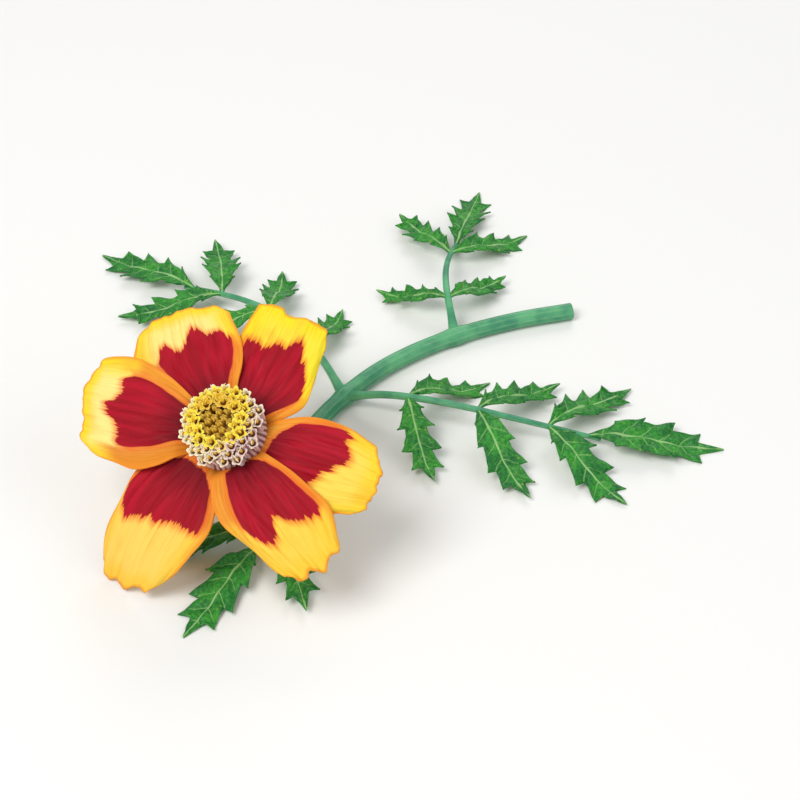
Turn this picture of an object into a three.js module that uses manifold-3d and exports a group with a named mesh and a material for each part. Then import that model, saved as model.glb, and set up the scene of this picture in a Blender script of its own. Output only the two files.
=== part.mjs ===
// A single French marigold flower, as picked: one bloom of six broad rays round a tuft of disc florets,
// on a short curved stem with four toothed, feather-cut leaves. It lies on a flat surface. The neck bends up
// and lifts the bloom, and the lowest ray, the stem and some leaflet tips touch the surface.
//
// Units are millimetres and degrees. +Z is up, and Z 0 is the surface. Everything is measured from the foot
// of the bloom, the point of the surface under the middle of its rays.

import * as THREE from "three";
import { mergeVertices } from "three/addons/utils/BufferGeometryUtils.js";
import Module from "manifold-3d";

const wasm = await Module();
wasm.setup();

const { sin, cos, abs, min, max, PI, sqrt } = Math;
const radians = THREE.MathUtils.degToRad;
const smooth = (t) => THREE.MathUtils.smoothstep(t, 0, 1);
const mix = THREE.MathUtils.lerp;

// ---------------------------------------------------------------- driving dimensions

// The foot of the bloom, measured from the origin, which lies under the middle of the whole flower.
const bloomFoot = { x: -26.4, y: -34.65 };

const bloom = {
  height: 20.5, // the ring of rays' centre above the surface
  lean: 30.8, // how far the face leans from straight up
  turn: -27.1, // the way that it leans, round Z from -Y
};

const ray = {
  rootRadius: 3.2, // where a ray's claw starts, in the ring
  rootHeight: -0.2,
  clawWidth: 4.2,
  thickness: 0.66,
  lift: 2.3, // how far a claw climbs over the green cup's rim
  liftEnd: 7.5, // radius at which it has climbed
  layerGap: 0.95, // from one layer of rays to the next
  layersPartBy: 0.25, // share of a ray's length at which the layers have parted
  cornerRound: 0.11, // how much shorter a ray is at its corners than in its middle
  cornerPower: 3.2, // a high power keeps the tip blunt
  widestAt: 0.6, // as a share of its length
  widening: 0.95, // under 1 the claw widens fast
  hangFrom: 10, // radius at which a ray starts to hang
  crown: 0.9, // how far the edges lie below the middle, at the tip
  pleats: 3,
  pleatDepth: 0.22,
  lengthSteps: 10,
  widthSteps: 8,
};

// turn: direction on the face. reach: its tip's distance from the axis. droop: how far the tip hangs.
// layer: 1 lies over its neighbours. closing: how much narrower the tip is than the widest place.
// lobes, depth, phase: the waved tip. slant: more length on one side. bend: how far the tip swings sideways.
const rays = [
  {
    turn: -4.7, reach: 25.5, width: 15.2, droop: 3.4, layer: -0.3, closing: 0.25,
    lobes: 2, depth: 0.15, phase: -0.9, slant: -0.9, bend: 2.6,
  },
  {
    turn: 70, reach: 21.9, width: 16.2, droop: 2.6, layer: -1, closing: 0.08,
    lobes: 1.5, depth: 0.7, phase: 2.1, slant: -1.3, bend: 5.4,
  },
  {
    turn: 141, reach: 24.2, width: 16.4, droop: 3.0, layer: 0, closing: 0.1,
    lobes: 3, depth: 0.2, phase: 1.5, slant: 2.6, bend: -1.8,
  },
  {
    turn: 193, reach: 25.7, width: 17.2, droop: 3.4, layer: 1, closing: 0.08,
    lobes: 2, depth: 0.4, phase: 1.6, slant: -0.4, bend: -2.8,
  },
  {
    turn: 250.3, reach: 28.3, width: 17.4, droop: 7.8, layer: -1, closing: 0.27,
    lobes: 3, depth: 0.35, phase: -0.1, slant: -2.0, bend: 1.0,
  },
  {
    turn: 316.5, reach: 26.8, width: 14.9, droop: 4.0, layer: 1, closing: 0.3,
    lobes: 3, depth: 0.35, phase: 3.6, slant: -0.3, bend: 3.8,
  },
];

const ring = { inner: 2.7, outer: 4.4, bottom: -1.9, shoulder: 0, top: 0.5, bevel: 0.5, sides: 30 };

const disc = {
  neckRadius: 2.4, // inside the ring of rays
  bottom: -1.9,
  flareStart: 1.2,
  shoulderRadius: 5.4,
  shoulder: 3.2,
  domeRadius: 3.5,
  domeEdge: 4.35,
  domeTop: 4.6,
  sides: 20,
  florets: 38,
  closedFlorets: 9, // the first few, in the middle
  spread: 5.1, // distance of the outermost floret's foot from the axis
  footHeight: 3.4, // of the middle floret
  footDrop: 1.0, // how much lower the outermost floret stands
  outwardLean: 13, // of the outermost floret
  leanPower: 1.5,
  goldenAngle: 137.508,
};

const floret = {
  foot: 0.5, // radii
  throat: 0.8,
  star: 1.4,
  cleft: 0.75,
  height: 3.8,
  swell: 0.5, // how much taller the florets between the middle and the edge are
  throatDepth: 1.1,
  lobeDip: 0.1,
  cleftDip: 0.55,
  lobes: 5,
  closedHeight: 3.1,
  closedSides: 6,
  closedRadius: 0.68,
  closedShoulder: 0.72, // where a closed floret is widest, as a share of its height
};

// The green cup of fused bracts under the rays, down the bloom's axis. profile: [height, radius].
const cup = {
  profile: [
    [-14.6, 1.9],
    [-13.2, 2.5],
    [-11.4, 3.6],
    [-9.0, 4.6],
    [-6.0, 5.15],
    [-3.2, 5.3],
    [-1.2, 5.4],
  ],
  ribs: 8,
  ribDepth: 0.16,
  teeth: 6,
  toothHeight: 1.2,
  toothPower: 1.5,
  mouthRadius: 5.0, // inside, at the rim
  floorRadius: 4.7,
  floor: -2.2,
  sides: 24,
};

// The stem's centre line after its neck, from the foot of the bloom, and its radius.
const stem = {
  sunkInCup: 1.5,
  centreHeight: 1.45, // where it lies along the surface
  neckRadius: 1.9,
  radius: 1.5,
  thinBy: 0.35, // share of its length at which it has thinned from one to the other
  node: 0.25, // how much it swells where a leaf grows
  nodeReach: 0.02,
  route: [
    [15.2, 28.4],
    [23.5, 38.5],
    [34.5, 46.5],
    [47.0, 52.0],
    [58.0, 55.0],
  ],
  steps: 22,
  sides: 10,
};

// along: a leaf's place on the stem, 0 at the cup and 1 at the cut end. heading: its direction round Z.
// rib, leaflet: their lengths. bow: how far the rib bends sideways. arch: how far it rises.
// The first leaf runs under the bloom, with no leaflets beside the neck. The next two leave one place on the
// stem, and the last is a small one.
const leaves = [
  { along: 0.25, heading: -105, rib: 29, leaflet: 19.5, pairs: 1, bow: 2.5, arch: 2.0 },
  { along: 0.4, heading: 134, rib: 43, leaflet: 20, pairs: 3, bow: -3, arch: 4.5 },
  { along: 0.4, heading: -14, rib: 45, leaflet: 21, pairs: 3, bow: -2.5, arch: 4.5 },
  { along: 0.72, heading: 88, rib: 28, leaflet: 18, pairs: 2, bow: 2, arch: 3.5 },
];

const leaf = {
  ribRadius: 0.75,
  ribTaper: 0.4,
  ribKnots: 7, // points that its curve passes through
  ribSteps: 9,
  ribSides: 6,
  ribEndHeight: 1.3,
  archSkew: 0.8, // under 1 the rib is highest nearer the stem
  firstPair: 0.27, // as a share of the rib
  lastPair: 0.8,
  ribEnd: 0.95, // where the end leaflet's foot is
  firstSize: 0.82, // of the lowest leaflets, as a share of the leaf's full leaflet length
  lastSize: 0.95,
  endSize: 1.1,
  spread: 60, // angle from the rib to the lowest leaflets
  spreadLoss: 8, // how much closer the last pair lies
  forwardSweep: 0.1, // how far a leaflet curves towards the leaf's tip, as a share of its length
  halfWidth: 0.165, // as a share of its length
  thickness: 0.7,
  tipHeight: 0.28, // of a leaflet's middle surface where it lies down
  tipRise: 1.5, // the most that a side leaflet's tip stays above that
  riseStep: 2.4, // of the wave that sets it, from one pair to the next
  flatFrom: 0.8, // share of a leaflet's length beyond which it lies flat
  hump: 0.07,
  fold: 0.3, // how far the halves rise from the midrib, as a slope
};

// A leaflet's edge from its foot to its tip: [share of its length, share of its half width, how far the edge
// lies ahead of the midrib there, as a share of its length]. Four spiny teeth a side hook forwards.
const leafletEdge = [
  [0, 0.12, 0],
  [0.1, 0.34, 0],
  [0.16, 0.74, 0.03],
  [0.19, 0.5, 0],
  [0.29, 0.68, 0],
  [0.36, 1.14, 0.045],
  [0.4, 0.6, 0],
  [0.51, 0.72, 0],
  [0.58, 1.18, 0.045],
  [0.62, 0.54, 0],
  [0.71, 0.58, 0],
  [0.77, 0.94, 0.045],
  [0.81, 0.38, 0],
  [1, 0.03, 0],
];

const weldDistance = 1e-4; // points closer than this are one
const surfaceTrim = { width: 400, depth: 10 }; // the block that cuts off what lies under the surface

// ---------------------------------------------------------------- closed shapes from points

function bodyFrom(points, triangles) {
  const geometry = new THREE.BufferGeometry();
  geometry.setAttribute("position", new THREE.Float32BufferAttribute(points.flatMap((p) => p.toArray()), 3));
  geometry.setIndex(triangles);
  return geometry;
}

// A closed slab between two grids of points. Both faces are split along the same diagonals.
function slab(front, back) {
  const rows = front.length;
  const columns = front[0].length;
  const half = rows * columns;
  const at = (i, j) => i * columns + j;
  const triangles = [];
  for (let i = 0; i < rows - 1; i++) {
    for (let j = 0; j < columns - 1; j++) {
      const [a, b, c, d] = [at(i, j), at(i + 1, j), at(i + 1, j + 1), at(i, j + 1)];
      triangles.push(a, b, c, a, c, d);
      triangles.push(half + a, half + c, half + b, half + a, half + d, half + c);
    }
  }
  const wall = (a, b) => triangles.push(b, a, half + a, b, half + a, half + b);
  for (let i = 0; i < rows - 1; i++) {
    wall(at(i, 0), at(i + 1, 0));
    wall(at(i + 1, columns - 1), at(i, columns - 1));
  }
  for (let j = 0; j < columns - 1; j++) {
    wall(at(0, j + 1), at(0, j));
    wall(at(rows - 1, j), at(rows - 1, j + 1));
  }
  return bodyFrom([...front.flat(), ...back.flat()], triangles);
}

// A blade of even thickness on both sides of a grid of points.
function blade(grid, thickness) {
  const rows = grid.length;
  const columns = grid[0].length;
  const normalAt = (i, j) => {
    const down = grid[min(i + 1, rows - 1)][j].clone().sub(grid[max(i - 1, 0)][j]);
    const across = grid[i][min(j + 1, columns - 1)].clone().sub(grid[i][max(j - 1, 0)]);
    return down.cross(across).normalize();
  };
  const shifted = (side) =>
    grid.map((row, i) => row.map((p, j) => p.clone().addScaledVector(normalAt(i, j), side * 0.5 * thickness)));
  return slab(shifted(1), shifted(-1));
}

// A closed skin over a row of rings, each with the same number of points, with a point closing either end.
function skin(rings, firstPoint, lastPoint) {
  const sides = rings[0].length;
  const first = rings.length * sides;
  const last = first + 1;
  const at = (i, k) => i * sides + (k % sides);
  const triangles = [];
  for (let k = 0; k < sides; k++) {
    triangles.push(first, at(0, k + 1), at(0, k));
    triangles.push(last, at(rings.length - 1, k), at(rings.length - 1, k + 1));
    for (let i = 0; i < rings.length - 1; i++) {
      triangles.push(at(i, k), at(i, k + 1), at(i + 1, k + 1));
      triangles.push(at(i, k), at(i + 1, k + 1), at(i + 1, k));
    }
  }
  return bodyFrom([...rings.flat(), firstPoint, lastPoint], triangles);
}

// A level ring of points round the Z axis. radiusAt and heightAt take the angle.
function levelRing(sides, radiusAt, heightAt) {
  return Array.from({ length: sides }, (_, k) => {
    const angle = (2 * PI * k) / sides;
    return new THREE.Vector3(radiusAt(angle) * cos(angle), radiusAt(angle) * sin(angle), heightAt(angle));
  });
}

// A round rod along a curve, with a radius that changes along it.
function rod(curve, steps, sides, radiusAt) {
  const rings = [];
  for (let i = 0; i <= steps; i++) {
    const t = i / steps;
    const centre = curve.getPointAt(t);
    const along = curve.getTangentAt(t);
    const side = new THREE.Vector3(0, 0, 1).cross(along).normalize();
    const up = along.clone().cross(side);
    rings.push(
      Array.from({ length: sides }, (_, k) => {
        const angle = (2 * PI * (k + 0.5)) / sides;
        return centre
          .clone()
          .addScaledVector(side, radiusAt(t) * cos(angle))
          .addScaledVector(up, radiusAt(t) * sin(angle));
      }),
    );
  }
  return skin(rings, curve.getPointAt(0), curve.getPointAt(1));
}

// A round shape from points [radius, height], turned about the Z axis.
function turned(section, sides) {
  return new THREE.LatheGeometry(section.map(([r, z]) => new THREE.Vector2(r, z)), sides).rotateX(PI / 2);
}

function solidOf(geometry) {
  const bare = geometry.clone();
  bare.deleteAttribute("normal");
  bare.deleteAttribute("uv");
  const merged = mergeVertices(bare, weldDistance);
  return new wasm.Manifold(
    new wasm.Mesh({
      numProp: 3,
      vertProperties: new Float32Array(merged.attributes.position.array),
      triVerts: new Uint32Array(merged.index.array),
    }),
  );
}

const joined = (geometries) => geometries.map(solidOf).reduce((whole, solid) => whole.add(solid));

function meshOf(solid, name, material) {
  const { vertProperties, triVerts } = solid.getMesh();
  const geometry = new THREE.BufferGeometry();
  geometry.setAttribute("position", new THREE.BufferAttribute(vertProperties, 3));
  geometry.setIndex(new THREE.BufferAttribute(triVerts, 1));
  geometry.computeVertexNormals();
  const mesh = new THREE.Mesh(geometry, material);
  mesh.name = name;
  return mesh;
}

// ---------------------------------------------------------------- rays

// A ray's middle surface. u runs from its claw to its tip, and v from one edge, -1, to the other, 1.
function rayPoint(shape, u, v) {
  const corner = ray.cornerRound * abs(v) ** ray.cornerPower;
  const wave = shape.depth * cos(shape.lobes * PI * v + shape.phase);
  const tip = shape.reach * (1 - corner) + wave + shape.slant * v;
  const out = mix(ray.rootRadius, tip, u);
  const widening = sin((PI / 2) * min(1, u / ray.widestAt)) ** ray.widening;
  const closing = 1 - shape.closing * max(0, (u - ray.widestAt) / (1 - ray.widestAt)) ** 2;
  const across = v * 0.5 * mix(ray.clawWidth, shape.width, widening) * closing + shape.bend * u ** 2;
  const climb = ray.lift * smooth((out - ray.rootRadius) / (ray.liftEnd - ray.rootRadius));
  const hang = shape.droop * max(0, (out - ray.hangFrom) / (shape.reach - ray.hangFrom)) ** 2;
  const crown = ray.crown * u * v ** 2;
  const pleats = ray.pleatDepth * u * cos(ray.pleats * PI * v);
  const layer = shape.layer * ray.layerGap * smooth(u / ray.layersPartBy);
  return new THREE.Vector3(out, across, ray.rootHeight + climb - hang - crown + pleats + layer);
}

function rayBlade(shape) {
  const grid = [];
  for (let i = 0; i <= ray.lengthSteps; i++) {
    const row = [];
    for (let j = 0; j <= ray.widthSteps; j++) {
      row.push(rayPoint(shape, i / ray.lengthSteps, (2 * j) / ray.widthSteps - 1));
    }
    grid.push(row);
  }
  return blade(grid, ray.thickness).rotateZ(radians(shape.turn));
}

function rayRing() {
  const section = [
    [ring.inner, ring.bottom],
    [ring.outer, ring.bottom],
    [ring.outer, ring.shoulder],
    [ring.outer - ring.bevel, ring.top],
    [ring.inner, ring.top],
    [ring.inner, ring.bottom],
  ];
  return turned(section, ring.sides);
}

// ---------------------------------------------------------------- disc florets

function discCore() {
  const section = [
    [0, disc.bottom],
    [disc.neckRadius, disc.bottom],
    [disc.neckRadius, disc.flareStart],
    [disc.shoulderRadius, disc.shoulder],
    [disc.domeRadius, disc.domeEdge],
    [0, disc.domeTop],
  ];
  return turned(section, disc.sides);
}

// An open floret: a tube that widens into a star of lobes, with a hollow throat.
function openFloret(height) {
  const sides = 2 * floret.lobes;
  const onLobe = (angle) => cos(floret.lobes * angle) > 0;
  const starRadius = (angle) => (onLobe(angle) ? floret.star : floret.cleft);
  const starHeight = (angle) => height - (onLobe(angle) ? floret.lobeDip : floret.cleftDip);
  const throatHeight = height - floret.throatDepth;
  const rings = [
    levelRing(sides, () => floret.foot, () => 0),
    levelRing(sides, () => floret.throat, () => throatHeight),
    levelRing(sides, starRadius, starHeight),
  ];
  return skin(rings, new THREE.Vector3(0, 0, 0), new THREE.Vector3(0, 0, throatHeight));
}

// A closed floret: a blunt bud.
function closedFloret() {
  const shoulder = floret.closedHeight * floret.closedShoulder;
  const rings = [
    levelRing(floret.closedSides, () => floret.foot, () => 0),
    levelRing(floret.closedSides, () => floret.closedRadius, () => shoulder),
  ];
  return skin(rings, new THREE.Vector3(0, 0, 0), new THREE.Vector3(0, 0, floret.closedHeight));
}

// The florets stand in the spiral of a seed head, and lean outwards more towards the edge.
function discFlorets() {
  return Array.from({ length: disc.florets }, (_, k) => {
    const share = sqrt((k + 0.5) / disc.florets);
    const height = floret.height + floret.swell * sin(PI * share);
    const shape = k < disc.closedFlorets ? closedFloret() : openFloret(height);
    return shape
      .rotateY(radians(disc.outwardLean) * share ** disc.leanPower)
      .translate(disc.spread * share, 0, disc.footHeight - disc.footDrop * share ** 2)
      .rotateZ(radians(k * disc.goldenAngle));
  });
}

// ---------------------------------------------------------------- the bloom's place

// Turns a shape made round the bloom's own axis into its place over the surface.
const bloomPlace = new THREE.Matrix4().compose(
  new THREE.Vector3(0, 0, bloom.height),
  new THREE.Quaternion().setFromEuler(new THREE.Euler(radians(bloom.lean), 0, radians(bloom.turn), "ZXY")),
  new THREE.Vector3(1, 1, 1),
);
const bloomAxis = new THREE.Vector3(0, 0, 1).transformDirection(bloomPlace);

// ---------------------------------------------------------------- green cup and stem

function greenCup() {
  const [bottom] = cup.profile[0];
  const [rim] = cup.profile.at(-1);
  const rimHeight = (angle) => rim + cup.toothHeight * max(0, cos(cup.teeth * angle)) ** cup.toothPower;
  const rings = cup.profile.map(([height, radius]) => {
    const ribs = (cup.ribDepth * (height - bottom)) / (rim - bottom);
    const ribbed = (angle) => radius + ribs * cos(cup.ribs * angle);
    return levelRing(cup.sides, ribbed, height === rim ? rimHeight : () => height);
  });
  rings.push(levelRing(cup.sides, () => cup.mouthRadius, rimHeight));
  rings.push(levelRing(cup.sides, () => cup.floorRadius, () => cup.floor));
  return skin(rings, new THREE.Vector3(0, 0, bottom), new THREE.Vector3(0, 0, cup.floor));
}

// The neck leaves the cup along the bloom's axis and bends down to the surface in an arc.
function stemCurve() {
  const onAxis = (height) => new THREE.Vector3(0, 0, bloom.height).addScaledVector(bloomAxis, height);
  const [cupBottom] = cup.profile[0];
  const arcStart = onAxis(cupBottom);
  const back = new THREE.Vector3(-bloomAxis.x, -bloomAxis.y, 0).normalize();
  const bend = PI / 2 - radians(bloom.lean);
  const bendRadius = (arcStart.z - stem.centreHeight) / (1 - cos(bend));
  const points = [onAxis(cupBottom + stem.sunkInCup)];
  for (const share of [0, 1 / 3, 2 / 3, 1]) {
    const steepness = bend * (1 - share);
    const level = bendRadius * (sin(bend) - sin(steepness));
    const drop = bendRadius * (cos(steepness) - cos(bend));
    points.push(arcStart.clone().addScaledVector(back, level).add(new THREE.Vector3(0, 0, -drop)));
  }
  stem.route.forEach(([x, y]) => points.push(new THREE.Vector3(x, y, stem.centreHeight)));
  return new THREE.CatmullRomCurve3(points, false, "centripetal");
}

function stemRadius(t) {
  const swelling = (along) => stem.node * Math.exp(-(((t - along) / stem.nodeReach) ** 2));
  const nodes = leaves.reduce((sum, { along }) => max(sum, swelling(along)), 0);
  return mix(stem.neckRadius, stem.radius, smooth(t / stem.thinBy)) + nodes;
}

// ---------------------------------------------------------------- leaves

function leafRib({ rib, bow, arch }) {
  const points = Array.from({ length: leaf.ribKnots }, (_, i) => {
    const t = i / (leaf.ribKnots - 1);
    const height = mix(stem.centreHeight, leaf.ribEndHeight, t) + arch * sin(PI * t ** leaf.archSkew);
    return new THREE.Vector3(rib * t, bow * sin(PI * t), height);
  });
  return new THREE.CatmullRomCurve3(points);
}

// One leaflet: a toothed blade folded along its midrib, from foot along heading. Its tip ends at tipHeight.
function leaflet(foot, heading, length, sweep, tipHeight) {
  const along = new THREE.Vector3(cos(heading), sin(heading), 0);
  const side = new THREE.Vector3(-sin(heading), cos(heading), 0);
  const point = (s, across, ahead) => {
    const outward = min(1, s / leaf.flatFrom);
    const hump = leaf.hump * length * sin(PI * outward) * (1 - s);
    const fold = leaf.fold * abs(across) * (1 - outward);
    return foot
      .clone()
      .addScaledVector(along, (s + ahead) * length)
      .addScaledVector(side, across + sweep * s ** 2)
      .setZ(mix(foot.z, tipHeight, smooth(outward)) + hump + fold);
  };
  const grid = leafletEdge.map(([s, share, ahead]) => {
    const across = share * leaf.halfWidth * length;
    return [point(s, -across, ahead), point(s, 0, 0), point(s, across, ahead)];
  });
  return blade(grid, leaf.thickness);
}

// The rib with its pairs of leaflets, counted from its end, and the one at its end. A wave sets how far each
// side leaflet stays up.
function wholeLeaf(shape) {
  const rib = leafRib(shape);
  const headingAt = (t) => Math.atan2(rib.getTangentAt(t).y, rib.getTangentAt(t).x);
  const bodies = [rod(rib, leaf.ribSteps, leaf.ribSides, (t) => leaf.ribRadius * (1 - leaf.ribTaper * t))];
  for (let k = 0; k < shape.pairs; k++) {
    const rank = 1 - k / max(1, shape.pairs - 1);
    const t = mix(leaf.firstPair, leaf.lastPair, rank);
    const size = shape.leaflet * mix(leaf.firstSize, leaf.lastSize, rank);
    const open = radians(leaf.spread - leaf.spreadLoss * rank);
    for (const side of [-1, 1]) {
      const rise = 0.5 + 0.5 * sin(shape.heading + leaf.riseStep * k + side);
      const tipHeight = leaf.tipHeight + leaf.tipRise * rise;
      const sweep = -side * leaf.forwardSweep * size;
      bodies.push(leaflet(rib.getPointAt(t), headingAt(t) + side * open, size, sweep, tipHeight));
    }
  }
  const end = rib.getPointAt(leaf.ribEnd);
  bodies.push(leaflet(end, headingAt(leaf.ribEnd), shape.leaflet * leaf.endSize, 0, leaf.tipHeight));
  return bodies;
}

function placedLeaf(shape, stemLine) {
  const root = stemLine.getPointAt(shape.along);
  return wholeLeaf(shape).map((body) => body.rotateZ(radians(shape.heading)).translate(root.x, root.y, 0));
}

function belowSurface() {
  const { width, depth } = surfaceTrim;
  return solidOf(new THREE.BoxGeometry(width, width, depth).translate(0, 0, -depth / 2));
}

// ---------------------------------------------------------------- the whole flower

const stemLine = stemCurve();
const leafyStem = joined([
  rod(stemLine, stem.steps, stem.sides, stemRadius),
  greenCup().applyMatrix4(bloomPlace),
  ...leaves.flatMap((shape) => placedLeaf(shape, stemLine)),
]).subtract(belowSurface());
const rayPetals = joined([rayRing(), ...rays.map(rayBlade)].map((body) => body.applyMatrix4(bloomPlace)));
const discHead = joined([discCore(), ...discFlorets()].map((body) => body.applyMatrix4(bloomPlace)));

const green = new THREE.MeshStandardMaterial({ color: 0x23813f, roughness: 0.55, metalness: 0 });
const red = new THREE.MeshStandardMaterial({ color: 0xb5142f, roughness: 0.6, metalness: 0 });
const gold = new THREE.MeshStandardMaterial({ color: 0xf0c62c, roughness: 0.6, metalness: 0 });

const flower = new THREE.Group();
flower.position.set(bloomFoot.x, bloomFoot.y, 0);
flower.add(meshOf(leafyStem, "leafy_stem", green));
flower.add(meshOf(rayPetals, "ray_petals", red));
flower.add(meshOf(discHead, "disc_florets", gold));

export default flower;
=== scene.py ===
import math

import bmesh
import bpy
import numpy as np
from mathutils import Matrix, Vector


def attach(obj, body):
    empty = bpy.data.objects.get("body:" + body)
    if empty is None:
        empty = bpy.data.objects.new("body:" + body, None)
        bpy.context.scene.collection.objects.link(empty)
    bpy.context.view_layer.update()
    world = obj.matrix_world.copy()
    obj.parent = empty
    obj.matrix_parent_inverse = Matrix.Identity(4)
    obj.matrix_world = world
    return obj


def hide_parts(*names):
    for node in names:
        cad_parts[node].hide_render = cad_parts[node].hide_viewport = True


# A single French marigold as picked, lying on a pale floor. Lengths are in millimetres until the
# points go into a mesh. The frame is the solids' own: +Z up, the floor at Z 0.

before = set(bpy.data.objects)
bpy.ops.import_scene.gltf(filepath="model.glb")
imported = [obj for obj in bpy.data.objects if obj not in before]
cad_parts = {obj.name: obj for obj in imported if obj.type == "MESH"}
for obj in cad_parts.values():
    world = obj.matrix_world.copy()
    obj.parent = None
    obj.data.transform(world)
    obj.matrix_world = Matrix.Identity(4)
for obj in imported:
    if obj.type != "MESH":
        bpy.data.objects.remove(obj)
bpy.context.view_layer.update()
print("frame loaded:", sorted(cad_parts))

mm = 0.001
sameWithin = 1e-7  # metres between points that are one
bloom = {"foot": (-26.4, -34.65), "height": 20.5, "lean": 30.8, "turn": -27.1}


def smooth(t):
    t = np.clip(t, 0, 1)
    return t * t * (3 - 2 * t)


def mix(a, b, t):
    return a + (b - a) * t


def bell(t):
    return np.exp(-t ** 2)


def colour(code):  # a hex colour as linear light
    parts = [int(code[k:k + 2], 16) / 255 for k in (0, 2, 4)]
    return [c / 12.92 if c <= 0.04045 else ((c + 0.055) / 1.055) ** 2.4 for c in parts] + [1.0]


randomWaves = {"count": 7, "slowest": 0.6, "fastest": 2.2, "phase": 6.3, "softenedBy": 3}


def uneven(a, b, seed):  # gentle unevenness over two parameters: a few random waves added up
    rng = np.random.default_rng(int(seed * 10) % 100000)
    pairs = (randomWaves["count"], 2)
    waves = rng.uniform(randomWaves["slowest"], randomWaves["fastest"], pairs) * rng.choice([-1, 1], pairs)
    total = sum(np.sin(np.pi * (a * p + b * q) + randomWaves["phase"] * rng.random()) for p, q in waves)
    return total / randomWaves["softenedBy"]


def turnAboutZ(points, degrees):
    a = math.radians(degrees)
    return points @ np.array([[math.cos(a), math.sin(a), 0], [-math.sin(a), math.cos(a), 0], [0, 0, 1]])


def placeBloom(points):  # from the bloom's own axes, Z out of its face, to its place over the floor
    t = math.radians(bloom["lean"])
    leaned = points @ np.array([[1, 0, 0], [0, math.cos(t), math.sin(t)], [0, -math.sin(t), math.cos(t)]])
    return turnAboutZ(leaned, bloom["turn"]) + np.array([*bloom["foot"], bloom["height"]])


# meshes from grids

def gridPart(points, wrap=False, **fields):
    # points is rows x columns x 3. Each face joins four neighbours, and wrap joins the last column to the
    # first. UV is (share of the rows, share of the columns), and every field is one number a point.
    rows, columns = points.shape[:2]
    across = columns if wrap else columns - 1
    i, j = (a.ravel() for a in np.meshgrid(np.arange(rows - 1), np.arange(across), indexing="ij"))
    corners = [(0, 0), (1, 0), (1, 1), (0, 1)]
    faces = np.stack([(i + di) * columns + (j + dj) % columns for di, dj in corners], 1)
    uv = np.stack([np.stack([(i + di) / (rows - 1), (j + dj) / across], 1) for di, dj in corners], 1)
    flat = {key: np.broadcast_to(value, (rows, columns)).ravel() for key, value in fields.items()}
    return {"points": points.reshape(-1, 3), "faces": faces, "uv": uv, "fields": flat}


def addObject(name, data):
    new = bpy.data.objects.new(name, data)
    bpy.context.scene.collection.objects.link(new)
    return new


def makePiece(name, parts, materials, node, closed=True):
    offsets = np.cumsum([0] + [len(p["points"]) for p in parts])
    points = np.concatenate([p["points"] for p in parts]) * mm
    faces = np.concatenate([p["faces"] + o for p, o in zip(parts, offsets)])
    mesh = bpy.data.meshes.new(name)
    mesh.vertices.add(len(points))
    mesh.vertices.foreach_set("co", points.ravel())
    mesh.loops.add(faces.size)
    mesh.loops.foreach_set("vertex_index", faces.ravel().astype(np.int32))
    mesh.polygons.add(len(faces))
    mesh.polygons.foreach_set("loop_start", np.arange(0, faces.size, 4, dtype=np.int32))
    mesh.update(calc_edges=True)
    layer = mesh.uv_layers.new(name="surface")
    layer.data.foreach_set("uv", np.concatenate([p["uv"].reshape(-1, 2) for p in parts]).ravel())
    for key in parts[0]["fields"]:
        values = np.concatenate([p["fields"][key] for p in parts]).astype(np.float32)
        mesh.attributes.new(key, "FLOAT", "POINT").data.foreach_set("value", values)
    if closed:  # poles are closed, and faces turned outwards
        edit = bmesh.new()
        edit.from_mesh(mesh)
        bmesh.ops.remove_doubles(edit, verts=edit.verts, dist=sameWithin)
        bmesh.ops.recalc_face_normals(edit, faces=edit.faces)
        edit.to_mesh(mesh)
        edit.free()
    mesh.polygons.foreach_set("use_smooth", np.ones(len(mesh.polygons), dtype=bool))
    for material in materials:
        mesh.materials.append(material)
    piece = addObject(name, mesh)
    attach(piece, "root")
    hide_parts(node)
    print(name, len(mesh.vertices), "points")
    return piece


def thicken(piece, thickness, backMaterial=0):
    wall = piece.modifiers.new("thickness", "SOLIDIFY")
    wall.thickness = thickness * mm
    wall.offset = 0
    wall.use_even_offset = False
    wall.material_offset = backMaterial


def turnedAngles(columns):
    return np.linspace(0, 2 * np.pi, columns, endpoint=False)


def around(radius, height, angle):  # rings of points about an axis
    return np.stack([radius * np.cos(angle), radius * np.sin(angle), height + 0 * angle], -1)


def turned(section, columns):  # a round shape from points [radius, height]
    section = np.array(section)
    return around(section[:, :1], section[:, 1:], turnedAngles(columns))


def capped(points):  # closes each end of a tube with a point at its middle
    ends = [np.broadcast_to(points[k].mean(0), points[k].shape)[None] for k in (0, -1)]
    return np.concatenate([ends[0], points, ends[1]])


def cappedShares(t):  # the shares along a capped tube, as a column
    return np.concatenate([[0], np.ravel(t), [1]])[:, None]


# material helpers

def newMaterial(name):
    material = bpy.data.materials.new(name)
    material.use_nodes = True
    return material, material.node_tree, material.node_tree.nodes["Principled BSDF"]


def feed(node, inputs):  # links the sockets among the values and sets the others, hex codes as colours
    for key, value in inputs.items():
        if isinstance(value, bpy.types.NodeSocket):
            node.id_data.links.new(value, node.inputs[key])
        else:
            node.inputs[key].default_value = colour(value) if isinstance(value, str) else value


def addNode(kind, inputs, tree=None, **settings):  # into the tree given, or the one its inputs come from
    tree = tree or next(v.id_data for v in inputs.values() if isinstance(v, bpy.types.NodeSocket))
    new = tree.nodes.new(kind)
    for key, value in settings.items():
        setattr(new, key, value)
    feed(new, inputs)
    return new


def calc(operation, *values):
    return addNode("ShaderNodeMath", dict(enumerate(values)), operation=operation).outputs[0]


def times(a, b):
    return calc("MULTIPLY", a, b)


def swing(value, width):  # a value from 0 to 1 as a swing about zero
    return calc("MULTIPLY_ADD", value, width, -width / 2)


def field(tree, name):
    return addNode("ShaderNodeAttribute", {}, tree, attribute_name=name).outputs["Fac"]


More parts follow.
